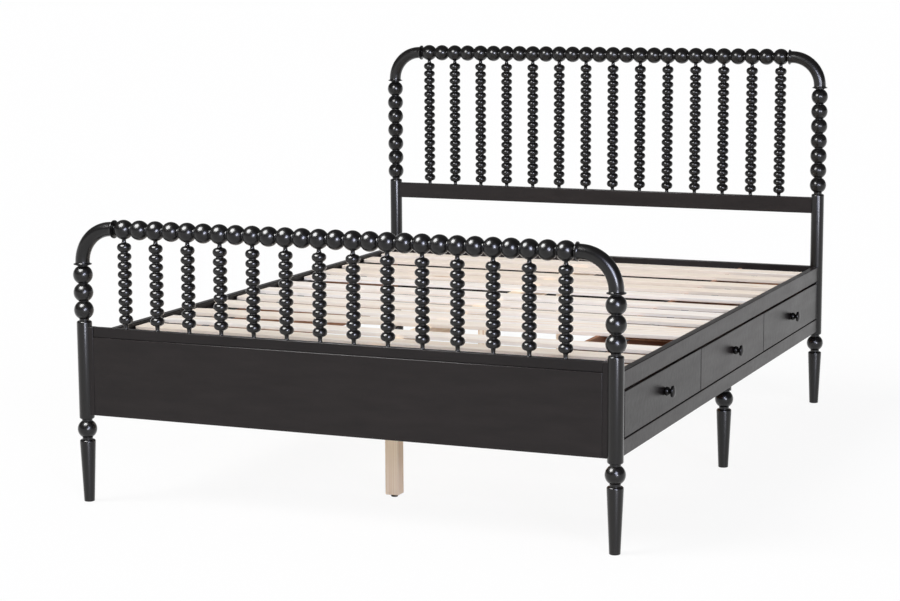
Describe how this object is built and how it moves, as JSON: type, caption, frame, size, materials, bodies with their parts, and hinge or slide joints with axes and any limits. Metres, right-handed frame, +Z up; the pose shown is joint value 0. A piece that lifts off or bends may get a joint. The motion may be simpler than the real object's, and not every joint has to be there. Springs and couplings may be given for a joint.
{
  "type": "platform bed",
  "caption": "Full-size platform bed with bead-turned headboard and footboard, bent corners, a slatted deck, turned legs and sliding drawers along its right side.",
  "frame": {"origin": "on the floor under the middle of the bed, midway between the four posts", "axes": "+X to the side with the drawers, +Y along the bed to the headboard, +Z up"},
  "size_m": [1.4902, 2.0044, 1.1021],
  "materials": {
    "black_lacquer": "satin black lacquer on wood",
    "pine": "planed, unfinished pine",
    "drawer_wood": "brown stained plywood",
    "beech": "plain beech dowel",
    "zinc_steel": "zinc-plated steel",
    "black_plastic": "moulded black plastic",
    "webbing": "woven black webbing"
  },
  "bodies": {
    "frame": {"beam_hangers": "zinc_steel", "bracket_screws": "zinc_steel", "center_beam": "pine", "center_legs": "pine", "corner_braces": "zinc_steel", "corner_dowels": "beech", "drawer_case_back": "drawer_wood", "drawer_frame_bottom_rail": "black_lacquer", "drawer_frame_stiles": "black_lacquer", "drawer_frame_top_rail": "black_lacquer", "drawer_partitions": "drawer_wood", "footboard_cap_rail": "black_lacquer", "footboard_corners": "black_lacquer", "footboard_panel": "black_lacquer", "footboard_post_left": "black_lacquer", "footboard_post_right": "black_lacquer", "footboard_spindles": "black_lacquer", "footboard_stiles": "black_lacquer", "footboard_top_rail": "black_lacquer", "front_legs": "black_lacquer", "headboard_corners": "black_lacquer", "headboard_lower_rail": "black_lacquer", "headboard_panel": "black_lacquer", "headboard_post_left": "black_lacquer", "headboard_post_right": "black_lacquer", "headboard_spindles": "black_lacquer", "headboard_top_rail": "black_lacquer", "leg_bolts": "zinc_steel", "leveller_inserts": "zinc_steel", "middle_leg_blocks": "black_lacquer", "middle_legs": "black_lacquer", "rear_legs": "black_lacquer", "side_rail_left": "black_lacquer", "slat_ledges": "black_lacquer", "slat_straps": "webbing", "slats": "pine", "slide_channels": "zinc_steel"},
    "drawer_foot": {"drawer_foot_bottom": "drawer_wood", "drawer_foot_front": "black_lacquer", "drawer_foot_knob": "black_lacquer", "drawer_foot_knob_screw": "zinc_steel", "drawer_foot_runners": "zinc_steel", "drawer_foot_walls": "drawer_wood"},
    "leveller_foot": {"leveller_foot": "black_plastic"},
    "drawer_middle": {"drawer_middle_bottom": "drawer_wood", "drawer_middle_front": "black_lacquer", "drawer_middle_knob": "black_lacquer", "drawer_middle_knob_screw": "zinc_steel", "drawer_middle_runners": "zinc_steel", "drawer_middle_walls": "drawer_wood"},
    "leveller_middle": {"leveller_middle": "black_plastic"},
    "drawer_head": {"drawer_head_bottom": "drawer_wood", "drawer_head_front": "black_lacquer", "drawer_head_knob": "black_lacquer", "drawer_head_knob_screw": "zinc_steel", "drawer_head_runners": "zinc_steel", "drawer_head_walls": "drawer_wood"},
    "leveller_head": {"leveller_head": "black_plastic"}
  },
  "joints": [
    {"name": "drawer_foot_slide", "type": "slide", "parent": "frame", "child": "drawer_foot", "axis": [1, 0, 0], "range_m": [0, 0.15]},
    {"name": "drawer_middle_slide", "type": "slide", "parent": "frame", "child": "drawer_middle", "axis": [1, 0, 0], "range_m": [0, 0.15]},
    {"name": "drawer_head_slide", "type": "slide", "parent": "frame", "child": "drawer_head", "axis": [1, 0, 0], "range_m": [0, 0.15]},
    {"name": "leveller_foot_adjust", "type": "slide", "parent": "frame", "child": "leveller_foot", "axis": [0, 0, -1], "range_m": [0, 0.012]},
    {"name": "leveller_middle_adjust", "type": "slide", "parent": "frame", "child": "leveller_middle", "axis": [0, 0, -1], "range_m": [0, 0.012]},
    {"name": "leveller_head_adjust", "type": "slide", "parent": "frame", "child": "leveller_head", "axis": [0, 0, -1], "range_m": [0, 0.012]}
  ]
}
